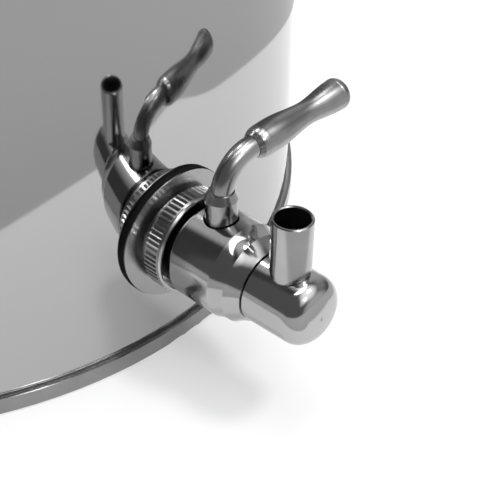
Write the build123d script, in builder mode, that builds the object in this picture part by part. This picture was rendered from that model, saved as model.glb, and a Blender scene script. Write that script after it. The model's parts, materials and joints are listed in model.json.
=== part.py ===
"""Stainless brew kettle with a lift-off lid, two side handles and a swivel-spout tap.

The frame stands on the floor: +Z is up, the kettle's axis is Z, and the tap points along -Y.
The origin is the centre of the base where it rests on the floor. Everything is in millimetres.
"""

import os
from math import asin, cos, sin

from build123d import *

# ---- kettle ----
wall_radius = 150.0
wall_thickness = 1.0
kettle_height = 300.0
shell_bottom = 5.6
shell_corner = 2.0
bead_radius = 3.2

# ---- encapsulated base ----
base_radius = 151.8
base_height = 6.6
capsule_thickness = 0.8
capsule_foot_round = 1.1
capsule_top_round = 0.5
core_gap = 0.05
joint_gap = 0.7

# ---- small sizes that several parts share ----
cut_reach = 10.0
edge_break = 0.3
nut_chamfer = 0.5
fit_gap = 0.05
groove_gap = 0.2

# ---- side handles ----
handle_height = 252.0
handle_reach = 38.0
handle_half_span = 46.0
handle_bar_radius = 4.5
handle_bend = 17.0
handle_root = 8.0
pad_thickness = 2.0
pad_width = 26.0
pad_length = 46.0
pad_corner = 8.0
rivet_spacing = 30.0
rivet_radius = 1.9
rivet_head_radius = 5.0
rivet_head_height = 2.2
rivet_tail_height = 1.0
rivet_tail_radius = 4.0

# ---- lid ----
lid_thickness = 0.9
lid_radius = 157.2
lid_gap = 0.3
lid_skirt_drop = 3.4
lid_plug_radius = 147.0
lid_plug_depth = 5.5
lid_ledge_radius = 141.0
lid_crown_radius = 62.0
lid_crown_height = 313.0
lid_bend = 1.6
strap_half_span = 48.0
strap_foot = 16.0
strap_foot_bend = 4.0
strap_foot_round = 5.0
strap_rise = 34.0
strap_lean = 6.0
strap_width = 18.0
strap_thickness = 2.5
strap_bend = 12.0

# ---- tap: distances are measured from the kettle's axis along -Y ----
tap_height = 46.0
port_radius = 10.9
outer_gasket_thickness = 1.5
outer_gasket_radius = 22.8
flange_thickness = 0.6
flange_radius = 22.6
flange_boss_radius = 13.6
flange_boss_foot = 15.4
flange_boss_depth = 6.0
flange_bore = 10.6
ring_nut_radius = 17.75
ring_nut_back = 154.1
ring_nut_front = 160.7
ring_nut_web = 2.3
ring_nut_recess_radius = 16.5
ring_nut_plain_band = 1.5
ring_nut_plain_radius = 17.5
knurl_count = 64
knurl_notch = 0.85

# ---- shank and the fixings inside the kettle ----
shank_radius = 10.4
shank_root_radius = 9.6
shank_bore = 6.0
shank_inner_end = 131.0
shank_front = 162.3
thread_pitch = 1.814
thread_crest = 0.2
back_gasket_face = 146.4
back_washer_thickness = 1.2
back_fixing_radius = 15.5
back_nut_thickness = 8.0
back_nut_across_flats = 27.0

# ---- tap body ----
hub_back = 156.6
hub_radius = 14.6
body_start = 163.6
body_radius = 16.17
body_bevel = 0.4
body_straight_end = 180.0
shoulder_end = 185.5
shoulder_radius = 15.0
shoulder_round = 14.0
collar_hollow = (187.7, 13.55)
collar_radius = 12.4
body_front = 190.2
cavity_radius = 10.45
cavity_front = 179.4
outlet_bore = 5.4
tail_bore = 7.55
tail_bore_start = 181.4

# ---- ball valve ----
stem_distance = 170.8
ball_radius = 8.6
ball_bore = 5.2
seat_inner_radius = 5.4
seat_gap = 0.06
seat_length = 3.9
stem_radius = 5.15
stem_bore = 5.2
stem_shoulder_radius = 5.9
stem_shoulder_bottom = 55.0
stem_shoulder_top = 56.9
stem_pocket_radius = 6.2
stem_pocket_top = 57.6
stem_top = 69.5
tongue_width = 3.0
tongue_length = 7.0
tongue_bottom = 52.5
slot_gap = 0.1
seal_radius = 5.65
seal_bottom = 59.6
seal_top = 60.7
spot_face = 60.8
o_ring_section = 0.6

# ---- lever ----
lever_closed_angle = 2.0
lever_tilt = 4.1
lever_rod_radius = 3.6
lever_socket_bottom = 64.0
lever_rod_bottom = 64.2
lever_bend_start = 69.5
lever_bend = 12.8
lever_neck = 1.0
lever_tang = 9.0
collar_height = 2.6
lever_collar_radius = 5.25
lever_collar_top_radius = 4.15
grip_length = 41.1
grip_face_radius = 3.75
grip_flare = (1.6, 4.75)
grip_corner = (2.8, 5.15)
grip_near = (4.6, 5.3)
grip_belly = (10.0, 5.33)
grip_waist = (24.0, 3.95)
grip_far = (37.4, 5.3)
grip_far_corner = (39.8, 4.75)
grip_end = (40.7, 3.4)
grip_slopes = ((1, 0.04), (1, 0.03))
grip_socket_end = 0.2

# ---- swivelling spout ----
nose_back = 190.4
nose_radius = 11.9
nose_front_radius = 11.6
nose_round_start = 206.0
nose_cheek = (210.9, 9.3)
nose_face = (212.3, 6.2)
nose_tip = 212.8
nose_bore = 5.2
nose_tail_radius = 7.5
nose_tail_back = 182.0
spout_distance = 199.5
spout_top = 76.8
spout_bottom = 53.0
spout_seat = 57.9
spout_radius = 6.45
spout_spigot_radius = 6.25
spout_bore = 5.45
spout_rim_chamfer = 0.35
spout_ring_places = (183.6, 186.0)
retainer_place = 188.3
retainer_section = 0.5
retainer_radius = 7.6

x_right = (1, 0, 0)
tap_axis = Axis((0, 0, tap_height), (0, -1, 0))


def tap_plane(distance):
    """The plane square to the tap's axis, facing away from the kettle."""
    return Plane(origin=(0, -distance, tap_height), x_dir=x_right, z_dir=(0, -1, 0))


def tap_profile_plane():
    """Local x is the distance from the kettle's axis, local y is the radius from the tap's axis."""
    return Plane(origin=(0, 0, tap_height), x_dir=(0, -1, 0), z_dir=x_right)


def stem_plane(height):
    """A level plane centred on the valve stem."""
    return Plane(origin=(0, -stem_distance, height), x_dir=x_right, z_dir=(0, 0, 1))


def lever_plane():
    """The upright plane that holds the bent lever: local x points along the grip, local y is up."""
    along = Vector(1, 0, 0).rotate(Axis.Z, -lever_closed_angle)
    return Plane(origin=(0, -stem_distance, 0), x_dir=along, z_dir=along.cross(Vector(0, 0, 1)))


def wall_plane(angle, height, radius):
    """A plane that faces outward from the kettle wall at an angle round the axis."""
    outward = Vector(1, 0, 0).rotate(Axis.Z, angle)
    origin = outward * radius + Vector(0, 0, height)
    return Plane(origin=origin, x_dir=Vector(0, 0, 1).cross(outward), z_dir=outward)


def tap_ring(inner_radius, outer_radius, start, end):
    """A plain ring on the tap's axis."""
    with BuildPart() as ring:
        with BuildSketch(tap_plane(start)):
            Circle(outer_radius)
            Circle(inner_radius, mode=Mode.SUBTRACT)
        extrude(amount=end - start)
    return ring.part


def tap_torus(ring_radius, section_radius, place):
    """A round-section ring on the tap's axis."""
    with BuildPart() as ring:
        with BuildSketch(tap_profile_plane()):
            with Locations((place, ring_radius)):
                Circle(section_radius)
        revolve(axis=tap_axis)
    return ring.part


def cap_middle(edge_place, edge_radius, tip_place):
    """The point half way along an arc from a rim to the axis, where the arc is centred on the axis."""
    sag = tip_place - edge_place
    arc_radius = (sag**2 + edge_radius**2) / (2 * sag)
    half_turn = asin(edge_radius / arc_radius) / 2
    return tip_place - arc_radius + arc_radius * cos(half_turn), arc_radius * sin(half_turn)


def save(part, name):
    part.label = name
    export_step(part, f"parts/{name}.step")


os.makedirs("parts", exist_ok=True)

pad_angle = Vector(wall_radius, handle_half_span, 0).get_angle(Vector(1, 0, 0))
pad_angles = {"right": (pad_angle, -pad_angle), "left": (180 + pad_angle, 180 - pad_angle)}
rivet_heights = (handle_height - rivet_spacing / 2, handle_height + rivet_spacing / 2)
all_pad_angles = pad_angles["right"] + pad_angles["left"]
rivet_planes = [wall_plane(a, h, wall_radius) for a in all_pad_angles for h in rivet_heights]


# ---- kettle shell: floor, wall and a curled rim in one sheet ----
sheet_middle = wall_radius - wall_thickness / 2
curl_radius = bead_radius - wall_thickness / 2
curl_centre = (wall_radius - wall_thickness + bead_radius, kettle_height - bead_radius)

with BuildPart() as kettle_body:
    with BuildSketch(Plane.XZ):
        with BuildLine():
            FilletPolyline(
                (0, shell_bottom + wall_thickness / 2),
                (sheet_middle, shell_bottom + wall_thickness / 2),
                (sheet_middle, curl_centre[1]),
                radius=shell_corner,
            )
            CenterArc(curl_centre, curl_radius, 180, -270)
        trace(line_width=wall_thickness)
    revolve(axis=Axis.Z)
    with BuildSketch(tap_plane(wall_radius - cut_reach)):
        Circle(port_radius)
    extrude(amount=2 * cut_reach, mode=Mode.SUBTRACT)
    with Locations(*[plane.location for plane in rivet_planes]):
        Cylinder(rivet_radius + fit_gap, cut_reach, mode=Mode.SUBTRACT)
save(kettle_body.part, "kettle_body")


# ---- base: an aluminium disc closed in by a pressed steel capsule ----
capsule_inner = base_radius - capsule_thickness

with BuildPart() as base_core:
    with BuildSketch(Plane.XY.offset(capsule_thickness)):
        Circle(capsule_inner - core_gap)
    extrude(amount=shell_bottom - capsule_thickness)
save(base_core.part, "base_core")

with BuildPart() as base_capsule:
    with BuildSketch(Plane.XZ) as capsule_section:
        with BuildLine():
            Polyline(
                (0, 0),
                (base_radius, 0),
                (base_radius, base_height),
                (wall_radius + joint_gap, base_height),
                (wall_radius + joint_gap, base_height - capsule_thickness),
                (capsule_inner, base_height - capsule_thickness),
                (capsule_inner, capsule_thickness),
                (0, capsule_thickness),
                close=True,
            )
        make_face()
        rim_corners = capsule_section.vertices().group_by(Axis.X)[-1].sort_by(Axis.Z)
        fillet(rim_corners[0], capsule_foot_round)
        fillet(rim_corners[-1], capsule_top_round)
    revolve(axis=Axis.Z)
save(base_capsule.part, "base_capsule")


# ---- side handles: a bent bar welded to two riveted pads on each side ----
def handle_bar(side):
    with BuildPart() as bar:
        with BuildLine() as path:
            FilletPolyline(
                (side * (wall_radius - handle_root), -handle_half_span, handle_height),
                (side * (wall_radius + handle_reach), -handle_half_span, handle_height),
                (side * (wall_radius + handle_reach), handle_half_span, handle_height),
                (side * (wall_radius - handle_root), handle_half_span, handle_height),
                radius=handle_bend,
            )
        with BuildSketch(Plane(origin=path.line @ 0, z_dir=path.line % 0)):
            Circle(handle_bar_radius)
        sweep()
        with Locations((0, 0, handle_height)):
            Cylinder(wall_radius + pad_thickness, 4 * handle_bar_radius, mode=Mode.SUBTRACT)
    return bar.part


def handle_pads(angles):
    with BuildPart() as pads:
        for angle in angles:
            with BuildSketch(wall_plane(angle, handle_height, wall_radius - cut_reach)):
                RectangleRounded(pad_width, pad_length, pad_corner)
            extrude(amount=2 * cut_reach)
        with BuildSketch(Plane.XY.offset(handle_height - pad_length)):
            Circle(wall_radius + pad_thickness)
            Circle(wall_radius, mode=Mode.SUBTRACT)
        extrude(amount=2 * pad_length, mode=Mode.INTERSECT)
        holes = [wall_plane(a, h, wall_radius).location for a in angles for h in rivet_heights]
        with Locations(*holes):
            Cylinder(rivet_radius + fit_gap, cut_reach, mode=Mode.SUBTRACT)
    return pads.part


def rivet(grip):
    """A rivet along Z whose head rests on z = grip and whose tail is under z = 0."""
    head_top = grip + rivet_head_height
    dome_height, dome_radius = cap_middle(grip, rivet_head_radius, head_top)
    with BuildPart() as body:
        with BuildSketch(Plane.XZ):
            with BuildLine():
                Polyline(
                    (0, -rivet_tail_height),
                    (rivet_tail_radius, -rivet_tail_height),
                    (rivet_tail_radius, 0),
                    (rivet_radius, 0),
                    (rivet_radius, grip),
                    (rivet_head_radius, grip),
                )
                ThreePointArc((rivet_head_radius, grip), (dome_radius, dome_height), (0, head_top))
                Line((0, head_top), (0, -rivet_tail_height))
            make_face()
        revolve(axis=Axis.Z)
    return body.part


save(handle_bar(1), "handle_bar_right")
save(handle_bar(-1), "handle_bar_left")
save(handle_pads(pad_angles["right"]), "handle_pads_right")
save(handle_pads(pad_angles["left"]), "handle_pads_left")

# the flat heads stand clear of the curved sheet by its sag across one head
head_sag = wall_radius - (wall_radius**2 - rivet_head_radius**2) ** 0.5
wall_rivet = rivet(wall_thickness + pad_thickness + head_sag)
rivet_foot = wall_radius - wall_thickness - head_sag
rivet_feet = [wall_plane(a, h, rivet_foot) for a in all_pad_angles for h in rivet_heights]
with BuildPart() as handle_rivets:
    with Locations(*[plane.location for plane in rivet_feet]):
        add(wall_rivet)
save(handle_rivets.part, "handle_rivets")


# ---- lid: pressed sheet that hangs its rim on the bead ----
lid_sheet = kettle_height + lid_gap + lid_thickness / 2
crown_sheet = lid_crown_height - lid_thickness / 2
lid_rivet_places = [(x, 0, lid_crown_height) for x in (-strap_half_span, strap_half_span)]

with BuildPart() as lid:
    with BuildSketch(Plane.XZ):
        with BuildLine():
            FilletPolyline(
                (0, crown_sheet),
                (lid_crown_radius, crown_sheet),
                (lid_ledge_radius, lid_sheet - lid_plug_depth),
                (lid_plug_radius, lid_sheet - lid_plug_depth),
                (lid_plug_radius, lid_sheet),
                (lid_radius - lid_thickness / 2, lid_sheet),
                (lid_radius - lid_thickness / 2, lid_sheet - lid_skirt_drop),
                radius=lid_bend,
            )
        trace(line_width=lid_thickness)
    revolve(axis=Axis.Z)
    with Locations(*lid_rivet_places):
        Cylinder(rivet_radius + fit_gap, cut_reach, mode=Mode.SUBTRACT)
save(lid.part, "lid")

strap_leg = strap_half_span - strap_foot / 2
strap_low = lid_crown_height + strap_thickness / 2

with BuildPart() as lid_handle:
    with BuildSketch(Plane.XZ.offset(-strap_width / 2)):
        with BuildLine():
            FilletPolyline(
                (-strap_half_span - strap_foot / 2, strap_low),
                (-strap_leg, strap_low),
                (-strap_leg + strap_lean, strap_low + strap_rise),
                (strap_leg - strap_lean, strap_low + strap_rise),
                (strap_leg, strap_low),
                (strap_half_span + strap_foot / 2, strap_low),
                radius=(strap_foot_bend, strap_bend, strap_bend, strap_foot_bend),
            )
        trace(line_width=strap_thickness)
    extrude(amount=strap_width)
    fillet(lid_handle.edges().filter_by(Axis.Z).group_by(Axis.X)[0], strap_foot_round)
    fillet(lid_handle.edges().filter_by(Axis.Z).group_by(Axis.X)[-1], strap_foot_round)
    with Locations(*lid_rivet_places):
        Cylinder(rivet_radius + fit_gap, cut_reach, mode=Mode.SUBTRACT)
save(lid_handle.part, "lid_handle")

strap_rivet = rivet(lid_thickness + strap_thickness)
with BuildPart() as lid_rivets:
    with Locations(*lid_rivet_places):
        add(strap_rivet.translate((0, 0, -lid_thickness)))
save(lid_rivets.part, "lid_rivets")


# ---- washers that follow the curve of the wall, outside and inside ----
gasket_face = wall_radius + outer_gasket_thickness

with BuildPart() as tap_gasket_outer:
    add(tap_ring(flange_bore, outer_gasket_radius, wall_radius - cut_reach, wall_radius + cut_reach))
    with BuildSketch(Plane.XY.offset(tap_height - flange_radius)):
        Circle(gasket_face)
        Circle(wall_radius, mode=Mode.SUBTRACT)
    extrude(amount=2 * flange_radius, mode=Mode.INTERSECT)
save(tap_gasket_outer.part, "tap_gasket_outer")

with BuildPart() as flange_boss:
    with BuildSketch(tap_profile_plane()):
        with BuildLine():
            Polyline(
                (gasket_face - flange_boss_depth, flange_bore),
                (gasket_face - flange_boss_depth, flange_boss_foot),
                (gasket_face + flange_thickness, flange_boss_foot),
                (ring_nut_back, flange_boss_radius),
                (ring_nut_back, flange_bore),
                close=True,
            )
        make_face()
    revolve(axis=tap_axis)
    with Locations((0, 0, tap_height)):
        Cylinder(gasket_face, 4 * flange_radius, mode=Mode.SUBTRACT)

with BuildPart() as tap_flange:
    add(tap_ring(flange_bore, flange_radius, wall_radius - cut_reach, wall_radius + cut_reach))
    with BuildSketch(Plane.XY.offset(tap_height - flange_radius)):
        Circle(gasket_face + flange_thickness)
        Circle(gasket_face, mode=Mode.SUBTRACT)
    extrude(amount=2 * flange_radius, mode=Mode.INTERSECT)
    add(flange_boss.part)
save(tap_flange.part, "tap_flange")

with BuildPart() as tap_gasket_inner:
    add(tap_ring(shank_radius + fit_gap, back_fixing_radius, back_gasket_face, wall_radius))
    with Locations((0, 0, tap_height)):
        Cylinder(wall_radius - wall_thickness, 4 * back_fixing_radius, mode=Mode.INTERSECT)
save(tap_gasket_inner.part, "tap_gasket_inner")

washer_face = back_gasket_face - back_washer_thickness
back_washer = tap_ring(shank_radius + fit_gap, back_fixing_radius, washer_face, back_gasket_face)
save(back_washer, "back_washer")

with BuildPart() as back_nut:
    with BuildSketch(tap_plane(washer_face - back_nut_thickness)):
        RegularPolygon(back_nut_across_flats / 2, 6, major_radius=False)
        Circle(shank_radius + fit_gap, mode=Mode.SUBTRACT)
    extrude(amount=back_nut_thickness)
    chamfer(back_nut.edges().filter_by(GeomType.CIRCLE), nut_chamfer)
save(back_nut.part, "back_nut")


# ---- shank: a threaded tube from inside the kettle into the tap body ----
thread_turns = int((ring_nut_back + ring_nut_web - shank_inner_end) / thread_pitch)

with BuildPart() as shank:
    with BuildSketch(tap_profile_plane()):
        with BuildLine():
            flank = [(shank_inner_end, shank_bore), (shank_inner_end, shank_root_radius)]
            for turn in range(thread_turns):
                start = shank_inner_end + turn * thread_pitch
                flank.append((start + (1 - thread_crest) / 2 * thread_pitch, shank_radius))
                flank.append((start + (1 + thread_crest) / 2 * thread_pitch, shank_radius))
                flank.append((start + thread_pitch, shank_root_radius))
            thread_end = shank_inner_end + thread_turns * thread_pitch
            flank.append((thread_end + (1 - thread_crest) / 2 * thread_pitch, shank_radius))
            flank.append((shank_front, shank_radius))
            flank.append((shank_front, shank_bore))
            Polyline(*flank, close=True)
        make_face()
    revolve(axis=tap_axis)
save(shank.part, "shank")


# ---- ring nut: straight knurl, plain front band and a deep recess ----
with BuildPart() as ring_nut:
    knurled_length = ring_nut_front - ring_nut_back - ring_nut_plain_band
    with BuildSketch(tap_plane(ring_nut_back)):
        Circle(ring_nut_radius)
        with PolarLocations(ring_nut_radius, knurl_count):
            Rectangle(knurl_notch, knurl_notch, rotation=45, mode=Mode.SUBTRACT)
    extrude(amount=knurled_length)
    with BuildSketch(tap_plane(ring_nut_back + knurled_length)):
        Circle(ring_nut_plain_radius)
    extrude(amount=ring_nut_plain_band)
    chamfer(ring_nut.faces().sort_by(Axis.Y)[0].edges(), nut_chamfer)
    with BuildSketch(tap_plane(ring_nut_back + ring_nut_web)):
        Circle(ring_nut_recess_radius)
    extrude(amount=ring_nut_front, mode=Mode.SUBTRACT)
    with BuildSketch(tap_plane(ring_nut_back)):
        Circle(shank_radius + fit_gap)
    extrude(amount=ring_nut_front, mode=Mode.SUBTRACT)
save(ring_nut.part, "ring_nut")


# ---- tap body: hub, barrel and rounded shoulder, hollow for the ball and the spout's tail ----
with BuildPart() as tap_body:
    with BuildSketch(tap_profile_plane()):
        with BuildLine():
            Polyline(
                (hub_back, 0),
                (hub_back, hub_radius),
                (body_start, hub_radius),
                (body_start, body_radius - body_bevel),
                (body_start + body_bevel, body_radius),
                (body_straight_end, body_radius),
            )
            RadiusArc((body_straight_end, body_radius), (shoulder_end, shoulder_radius), -shoulder_round)
            ThreePointArc((shoulder_end, shoulder_radius), collar_hollow, (body_front, collar_radius))
            Polyline((body_front, collar_radius), (body_front, 0), (hub_back, 0))
        make_face()
    revolve(axis=tap_axis)
    for bore, start, end in (
        (cavity_radius, hub_back, cavity_front),
        (outlet_bore, cavity_front, body_front),
        (tail_bore, tail_bore_start, body_front),
    ):
        with BuildSketch(tap_plane(start)):
            Circle(bore)
        extrude(amount=end - start, mode=Mode.SUBTRACT)
    add(tap_torus(retainer_radius, retainer_section + fit_gap, retainer_place), mode=Mode.SUBTRACT)
    for bore, bottom, top in (
        (stem_pocket_radius, tap_height, stem_pocket_top),
        (stem_bore, stem_pocket_top, spot_face),
        (seal_radius, seal_bottom, spot_face),
        (seal_radius, spot_face, stem_top),
    ):
        with BuildSketch(stem_plane(bottom)):
            Circle(bore)
        extrude(amount=top - bottom, mode=Mode.SUBTRACT)
save(tap_body.part, "tap_body")


# ---- ball valve ----
def ball_seat(start, end):
    with BuildPart() as seat:
        add(tap_ring(seat_inner_radius, cavity_radius, start, end))
        with Locations((0, -stem_distance, tap_height)):
            Sphere(ball_radius + seat_gap, mode=Mode.SUBTRACT)
            Cylinder(stem_pocket_radius, 3 * cavity_radius, mode=Mode.SUBTRACT)
    return seat.part


save(ball_seat(shank_front, shank_front + seat_length), "seat_rear")
save(ball_seat(cavity_front - seat_length, cavity_front), "seat_front")

lever_turn = Location((0, -stem_distance, tap_height), (0, 0, -lever_closed_angle))

with BuildPart() as valve_ball:
    with Locations(lever_turn):
        Sphere(ball_radius)
        Cylinder(ball_bore, 3 * ball_radius, rotation=(0, 90, 0), mode=Mode.SUBTRACT)
    slot_plane = Plane(lever_turn).offset(tongue_bottom - slot_gap - tap_height)
    with BuildSketch(slot_plane):
        Rectangle(tongue_length + 2 * slot_gap, tongue_width + 2 * slot_gap)
    extrude(amount=ball_radius, mode=Mode.SUBTRACT)
save(valve_ball.part, "valve_ball")

with BuildPart() as valve_stem:
    tongue_plane = Plane(lever_turn).offset(tongue_bottom - tap_height)
    with BuildSketch(tongue_plane):
        Rectangle(tongue_length, tongue_width)
    extrude(amount=stem_shoulder_top - tongue_bottom)
    with BuildSketch(stem_plane(stem_shoulder_bottom)):
        Circle(stem_shoulder_radius)
    extrude(amount=stem_shoulder_top - stem_shoulder_bottom)
    with BuildSketch(stem_plane(stem_shoulder_top)):
        Circle(stem_radius)
    extrude(amount=stem_top - stem_shoulder_top)
    with BuildSketch(stem_plane(lever_socket_bottom)):
        Circle(lever_rod_radius + fit_gap)
    extrude(amount=stem_top - lever_socket_bottom, mode=Mode.SUBTRACT)
    with BuildSketch(stem_plane((stem_pocket_top + seal_bottom) / 2 - o_ring_section)):
        Circle(stem_radius)
        Circle(stem_radius - 2 * o_ring_section, mode=Mode.SUBTRACT)
    extrude(amount=2 * o_ring_section, mode=Mode.SUBTRACT)
save(valve_stem.part, "valve_stem")

with BuildPart() as stem_thrust_washer:
    with BuildSketch(stem_plane(stem_shoulder_top + 2 * fit_gap)):
        Circle(stem_pocket_radius)
        Circle(stem_bore, mode=Mode.SUBTRACT)
    extrude(amount=stem_pocket_top - stem_shoulder_top - 2 * fit_gap)
save(stem_thrust_washer.part, "stem_thrust_washer")

with BuildPart() as stem_o_ring:
    with BuildSketch(Plane(origin=(0, -stem_distance, 0), x_dir=x_right, z_dir=(0, -1, 0))):
        with Locations((stem_radius - o_ring_section, (stem_pocket_top + seal_bottom) / 2)):
            Circle(o_ring_section)
    revolve(axis=Axis((0, -stem_distance, 0), (0, 0, 1)))
save(stem_o_ring.part, "stem_o_ring")

with BuildPart() as stem_seal:
    with BuildSketch(stem_plane(seal_bottom)):
        Circle(seal_radius)
        Circle(stem_bore, mode=Mode.SUBTRACT)
    extrude(amount=seal_top - seal_bottom)
save(stem_seal.part, "stem_seal")


# ---- lever: bent rod, collar and turned grip ----
with BuildPart() as lever_rod:
    with BuildLine(lever_plane()) as lever_path:
        Line((0, lever_rod_bottom), (0, lever_bend_start))
        bend = CenterArc((lever_bend, lever_bend_start), lever_bend, 180, lever_tilt - 90)
        PolarLine(bend @ 1, lever_neck + lever_tang, direction=bend % 1)
    with BuildSketch(stem_plane(lever_rod_bottom)):
        Circle(lever_rod_radius)
    sweep()
save(lever_rod.part, "lever_rod")

with BuildPart() as lever_collar:
    with Locations(stem_plane(stem_top + collar_height / 2).location):
        Cone(lever_collar_radius, lever_collar_top_radius, collar_height)
    add(lever_rod.part, mode=Mode.SUBTRACT)
save(lever_collar.part, "lever_collar")

grip_start = bend @ 1 + (bend % 1) * lever_neck
grip_plane = Plane(origin=grip_start, x_dir=bend % 1, z_dir=lever_plane().z_dir)

with BuildPart() as lever_grip:
    with BuildSketch(grip_plane):
        with BuildLine():
            Polyline((0, 0), (0, grip_face_radius), grip_flare)
            ThreePointArc(grip_flare, grip_corner, grip_near)
            Spline(grip_near, grip_belly, grip_waist, grip_far, tangents=grip_slopes)
            ThreePointArc(grip_far, grip_far_corner, grip_end)
            ThreePointArc(grip_end, cap_middle(*grip_end, grip_length), (grip_length, 0))
            Line((grip_length, 0), (0, 0))
        make_face()
    revolve(axis=Axis(grip_start, bend % 1))
    with BuildSketch(Plane(origin=grip_start, z_dir=bend % 1)):
        Circle(lever_rod_radius + fit_gap)
    extrude(amount=lever_tang + grip_socket_end, mode=Mode.SUBTRACT)
save(lever_grip.part, "lever_grip")


# ---- swivelling spout: nose, tube, O-rings and the ring that keeps it in ----
retainer_groove = retainer_section + groove_gap
nose_grooves = [(p, o_ring_section, nose_tail_radius - 2 * o_ring_section) for p in spout_ring_places]
nose_grooves.append((retainer_place, retainer_groove, retainer_radius - retainer_groove))

with BuildPart() as spout_nose:
    with BuildSketch(tap_profile_plane()):
        with BuildLine():
            Polyline(
                (nose_tail_back, 0),
                (nose_tail_back, nose_tail_radius),
                (nose_back, nose_tail_radius),
                (nose_back, nose_radius - edge_break),
                (nose_back + edge_break, nose_radius),
                (nose_round_start, nose_front_radius),
            )
            ThreePointArc((nose_round_start, nose_front_radius), nose_cheek, nose_face)
            ThreePointArc(nose_face, cap_middle(*nose_face, nose_tip), (nose_tip, 0))
            Line((nose_tip, 0), (nose_tail_back, 0))
        make_face()
    revolve(axis=tap_axis)
    with BuildSketch(tap_plane(nose_tail_back)):
        Circle(nose_bore)
    extrude(amount=spout_distance - nose_tail_back, mode=Mode.SUBTRACT)
    spout_level = Plane(origin=(0, -spout_distance, tap_height))
    with BuildSketch(spout_level):
        Circle(spout_bore)
    extrude(amount=spout_top, mode=Mode.SUBTRACT)
    with BuildSketch(spout_level.offset(spout_bottom - tap_height)):
        Circle(spout_spigot_radius)
    extrude(amount=spout_top, mode=Mode.SUBTRACT)
    with Locations(spout_level.location):
        Sphere(spout_bore, mode=Mode.SUBTRACT)
    for place, half_width, floor_radius in nose_grooves:
        groove = tap_ring(floor_radius, nose_tail_radius, place - half_width, place + half_width)
        add(groove, mode=Mode.SUBTRACT)
save(spout_nose.part, "spout_nose")

with BuildPart() as spout_tube:
    with BuildSketch(Plane(origin=(0, -spout_distance, spout_bottom))):
        Circle(spout_spigot_radius)
    extrude(amount=spout_seat - spout_bottom)
    with BuildSketch(Plane(origin=(0, -spout_distance, spout_seat))):
        Circle(spout_radius)
    extrude(amount=spout_top - spout_seat)
    with BuildSketch(Plane(origin=(0, -spout_distance, spout_bottom))):
        Circle(spout_bore)
    extrude(amount=spout_top - spout_bottom, mode=Mode.SUBTRACT)
    chamfer(spout_tube.edges().group_by(Axis.Z)[-1], spout_rim_chamfer)
save(spout_tube.part, "spout_tube")

with BuildPart() as spout_o_rings:
    for place in spout_ring_places:
        add(tap_torus(nose_tail_radius - o_ring_section, o_ring_section, place))
save(spout_o_rings.part, "spout_o_rings")

save(tap_torus(retainer_radius, retainer_section, retainer_place), "spout_retainer")
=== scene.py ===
"""Looks for the brew kettle: metals, rubber, a pale studio floor, soft lights and the camera.

Lengths are metres in the part's own frame: +Z is up and the tap points along -Y.
Directions are an azimuth, measured from -Y towards +X, and an elevation, both in degrees.
"""

import json
import math

import bpy
from mathutils import Matrix, Vector

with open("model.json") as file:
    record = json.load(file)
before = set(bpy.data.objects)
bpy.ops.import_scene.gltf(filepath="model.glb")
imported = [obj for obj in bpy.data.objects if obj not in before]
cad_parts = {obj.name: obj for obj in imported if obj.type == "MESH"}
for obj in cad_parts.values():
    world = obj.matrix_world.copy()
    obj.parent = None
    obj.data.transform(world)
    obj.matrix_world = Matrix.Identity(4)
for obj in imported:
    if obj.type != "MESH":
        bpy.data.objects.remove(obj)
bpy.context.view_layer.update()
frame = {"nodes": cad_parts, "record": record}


def direction(azimuth, elevation):
    """The unit vector that points there."""
    a, e = math.radians(azimuth), math.radians(elevation)
    return math.sin(a) * math.cos(e), -math.cos(a) * math.cos(e), math.sin(e)


# ---------------------------------------------------------------- shader nodes

noise_spread = (0.3, 0.7)  # the noise values that give the two ends of a range
tone_coarseness = 0.1  # the slow tone change is ten times as large as the fine grain
grain_depth = 0.00005
ripple_depth = 0.0005
mottle_depth = 0.0001
plain_roughness = 0.9


def new_material(name):
    material = bpy.data.materials.new(name)
    material.use_nodes = True
    tree = material.node_tree
    return material, tree, tree.nodes["Principled BSDF"]


def add_node(tree, kind, **inputs):
    node = tree.nodes.new(kind)
    for name, value in inputs.items():
        node.inputs[name].default_value = value
    return node


def ramp(tree, source, low, high, at_low, at_high):
    """Maps at_low to at_high onto low to high."""
    node = tree.nodes.new("ShaderNodeMapRange")
    node.inputs["From Min"].default_value = at_low
    node.inputs["From Max"].default_value = at_high
    node.inputs["To Min"].default_value = low
    node.inputs["To Max"].default_value = high
    tree.links.new(source, node.inputs["Value"])
    return node


def grey_mix(tree, factor, dark, light):
    node = tree.nodes.new("ShaderNodeMix")
    node.data_type = "RGBA"
    node.inputs["A"].default_value = (dark, dark, dark, 1)
    node.inputs["B"].default_value = (light, light, light, 1)
    tree.links.new(factor, node.inputs["Factor"])
    return node.outputs["Result"]


def bump_node(tree, height, strength, depth):
    node = add_node(tree, "ShaderNodeBump", Strength=strength, Distance=depth)
    tree.links.new(height, node.inputs["Height"])
    return node


# ---------------------------------------------------------------- materials


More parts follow.
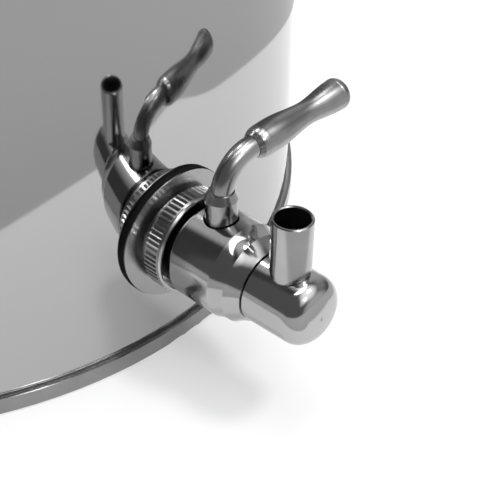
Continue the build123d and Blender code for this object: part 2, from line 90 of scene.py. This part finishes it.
def steel(name, dark, light, smooth, rough, scale, grain=(1, 1, 1), lean=(0, 0, 0), bump=0.0, ripple=0.0):
    """Metal whose tone drifts from dark to light and whose roughness follows a fine grain.

    grain stretches the grain along the axes where it is small, and lean turns it, in degrees.
    bump raises the grain, and ripple bends the reflections slowly.
    """
    material, tree, shader = new_material(name)
    place = tree.nodes.new("ShaderNodeTexCoord")
    level = tree.nodes.new("ShaderNodeMapping")
    level.inputs["Rotation"].default_value = [math.radians(a) for a in lean]
    tree.links.new(place.outputs["Object"], level.inputs["Vector"])
    stretch = tree.nodes.new("ShaderNodeMapping")
    stretch.inputs["Scale"].default_value = grain
    tree.links.new(level.outputs["Vector"], stretch.inputs["Vector"])

    tone = add_node(tree, "ShaderNodeTexNoise", Scale=scale * tone_coarseness, Detail=3.0)
    tree.links.new(place.outputs["Object"], tone.inputs["Vector"])
    fine = add_node(tree, "ShaderNodeTexNoise", Scale=scale, Detail=6.0, Roughness=0.6)
    tree.links.new(stretch.outputs["Vector"], fine.inputs["Vector"])

    shade = ramp(tree, tone.outputs["Fac"], 0, 1, *noise_spread)
    colour = grey_mix(tree, shade.outputs["Result"], dark, light)
    tree.links.new(colour, shader.inputs["Base Color"])
    roughness = ramp(tree, fine.outputs["Fac"], smooth, rough, *noise_spread)
    tree.links.new(roughness.outputs["Result"], shader.inputs["Roughness"])
    shader.inputs["Metallic"].default_value = 1.0

    if bump:
        node = bump_node(tree, fine.outputs["Fac"], bump, grain_depth)
        tree.links.new(node.outputs["Normal"], shader.inputs["Normal"])
    if ripple:
        node = bump_node(tree, tone.outputs["Fac"], ripple, ripple_depth)
        tree.links.new(node.outputs["Normal"], shader.inputs["Normal"])
    return material


def soft_solid(name, dark, light, roughness, scale, bump, gloss=0.5):
    """Rubber or plastic: even colour with faint mottling and a fine moulded grain."""
    material, tree, shader = new_material(name)
    place = tree.nodes.new("ShaderNodeTexCoord")
    mottle = add_node(tree, "ShaderNodeTexNoise", Scale=scale, Detail=5.0)
    tree.links.new(place.outputs["Object"], mottle.inputs["Vector"])
    tree.links.new(grey_mix(tree, mottle.outputs["Fac"], dark, light), shader.inputs["Base Color"])
    shader.inputs["Roughness"].default_value = roughness
    shader.inputs["Specular IOR Level"].default_value = gloss
    node = bump_node(tree, mottle.outputs["Fac"], bump, mottle_depth)
    tree.links.new(node.outputs["Normal"], shader.inputs["Normal"])
    return material


def plain(name, tone, glow=0.0):
    """A matt surface of one grey, which may also give off some light of its own."""
    material, _, shader = new_material(name)
    shader.inputs["Base Color"].default_value = (tone, tone, tone, 1)
    shader.inputs["Roughness"].default_value = plain_roughness
    shader.inputs["Specular IOR Level"].default_value = 0.0
    shader.inputs["Emission Color"].default_value = (1, 1, 1, 1)
    shader.inputs["Emission Strength"].default_value = glow
    return material


rings_round_x = (1, 0.03, 0.03)
lines_along_z = (1, 1, 0.02)
rings_round_z = (0.05, 0.05, 1)
grip_lean = (0, 4.1, 2.0)  # brings the grip's axis onto +X

slot_looks = {
    "mirror_steel": steel("mirror_steel", 0.41, 0.45, 0.03, 0.06, 60),
    "satin_steel": steel("satin_steel", 0.33, 0.37, 0.24, 0.27, 1200),
    "bright_steel": steel("bright_steel", 0.42, 0.48, 0.14, 0.2, 900),
    "turned_steel": steel("turned_steel", 0.29, 0.34, 0.23, 0.28, 2500, rings_round_x, grip_lean, bump=0.06),
    "knurled_steel": steel("knurled_steel", 0.42, 0.48, 0.2, 0.25, 1200),
    "core_aluminium": steel("core_aluminium", 0.55, 0.65, 0.3, 0.5, 800, bump=0.2),
    "black_rubber": soft_solid("black_rubber", 0.003, 0.007, 0.7, 900, 0.2, gloss=0.12),
    "white_ptfe": soft_solid("white_ptfe", 0.75, 0.85, 0.45, 700, 0.1),
}
# pieces whose steel is worked differently from the rest of their slot
hand_polished = steel("polished_steel", 0.40, 0.45, 0.08, 0.13, 300, ripple=0.05)
own_looks = {
    "tap_body": hand_polished,
    "spout_nose": hand_polished,
    "spout_tube": steel("drawn_steel", 0.38, 0.43, 0.15, 0.2, 900, lines_along_z),
    "valve_stem": steel("ground_steel", 0.27, 0.32, 0.12, 0.17, 900, rings_round_z),
    "base_capsule": steel("spun_steel", 0.24, 0.29, 0.16, 0.22, 900, rings_round_z),
}

slot_of = {s["node"]: s["material_slot"] for s in frame["record"]["subparts"]}
for name, node in frame["nodes"].items():
    node.data.materials.clear()
    node.data.materials.append(own_looks.get(name, slot_looks[slot_of[name]]))

# ---------------------------------------------------------------- floor


def flat_ring(name, inner, outer, height, material, centre=(0, 0), swell=(0, 0, 1)):
    """A level ring whose edges swell outward by swell[0] at swell[1] degrees, over swell[2] degrees."""
    segments = 360
    points = []
    for radius in (inner, outer):
        for i in range(segments):
            turn = 2 * math.pi * i / segments
            off_swell = (math.degrees(turn) - swell[1]) / swell[2]
            reach = radius + swell[0] * math.exp(-off_swell**2)
            points.append((centre[0] + reach * math.cos(turn), centre[1] + reach * math.sin(turn), height))
    faces = []
    for i in range(segments):
        j = (i + 1) % segments
        faces.append((i, segments + i, segments + j, j))
    mesh = bpy.data.meshes.new(name)
    mesh.from_pydata(points, [], faces)
    mesh.materials.append(material)
    ring = bpy.data.objects.new(name, mesh)
    bpy.context.scene.collection.objects.link(ring)
    return ring


floor_reach = 6.0
closed_hole = 0.0001
flat_ring("floor", closed_hole, floor_reach, 0.0, plain("floor_white", 0.55, glow=0.42))

# a darker floor past the table's round edge, seen only in reflections
table_edge = 0.2
table_centre = (0.030, -0.064)
table_corner = (0.012, 291, 9)
above_floor = 0.0006
room_grey = plain("room_grey", 0.48)
room_floor = flat_ring("room_floor", table_edge, floor_reach, above_floor, room_grey,
                       table_centre, table_corner)
room_floor.visible_camera = False
room_floor.visible_diffuse = False
room_floor.visible_shadow = False

# ---------------------------------------------------------------- lights

tap_middle = Vector((0, -0.19, 0.05))


def soft_light(name, azimuth, elevation, distance, size, power):
    """A soft round light that faces the tap."""
    towards = Vector(direction(azimuth, elevation))
    data = bpy.data.lights.new(name, "AREA")
    data.shape = "DISK"
    data.size = size
    data.energy = power
    lamp = bpy.data.objects.new(name, data)
    lamp.location = tap_middle + towards * distance
    lamp.rotation_euler = towards.to_track_quat("Z", "Y").to_euler()
    bpy.context.scene.collection.objects.link(lamp)


soft_light("key_high", 24, 62, 1.6, 0.30, 9)
soft_light("key_front", -11, 44.5, 1.6, 0.22, 3)
soft_light("overhead", 180, 75, 3.0, 2.6, 70)

# glows in a dim room: azimuth, elevation, bright half angle, faded half angle, strength
glows = (
    (12, 60, 8, 38, 1.5),
    (-23, 41, 3, 18, 0.7),
    (20, -2, 14, 45, 0.55),
    (128, 22, 16, 48, 0.45),
    (70, 30, 6, 24, 0.2),
)
room_tone = 0.14

world = bpy.data.worlds.new("room")
world.use_nodes = True
room = world.node_tree
outward = room.nodes.new("ShaderNodeTexCoord")
brightness = None
for azimuth, elevation, bright, faded, strength in glows:
    facing = room.nodes.new("ShaderNodeVectorMath")
    facing.operation = "DOT_PRODUCT"
    facing.inputs[1].default_value = direction(azimuth, elevation)
    room.links.new(outward.outputs["Generated"], facing.inputs[0])
    fade_start = math.cos(math.radians(faded))
    fade_end = math.cos(math.radians(bright))
    glow = ramp(room, facing.outputs["Value"], 0, strength, fade_start, fade_end)
    glow.interpolation_type = "SMOOTHSTEP"
    both = room.nodes.new("ShaderNodeMath")
    room.links.new(glow.outputs["Result"], both.inputs[0])
    both.inputs[1].default_value = room_tone
    if brightness:
        room.links.new(brightness, both.inputs[1])
    brightness = both.outputs["Value"]
background = room.nodes["Background"]
background.inputs["Color"].default_value = (1, 1, 1, 1)
room.links.new(brightness, background.inputs["Strength"])
bpy.context.scene.world = world
bpy.context.scene.view_settings.view_transform = "Standard"

# ---------------------------------------------------------------- camera

camera_place = (-0.21844, -0.3815, 0.28772)
camera_azimuth = -47.14
camera_elevation = 37.69
camera_roll = 0.8

camera_data = bpy.data.cameras.new("camera")
camera_data.sensor_width = 36.0
camera_data.lens = 91.83
camera = bpy.data.objects.new("camera", camera_data)
back = Vector(direction(camera_azimuth, camera_elevation))
right = (-back).cross(Vector((0, 0, 1))).normalized()
up = right.cross(-back)
upright = Matrix((right, up, back)).transposed()
camera.matrix_world = (upright @ Matrix.Rotation(math.radians(camera_roll), 3, "Z")).to_4x4()
camera.location = camera_place
bpy.context.scene.collection.objects.link(camera)
bpy.context.scene.camera = camera
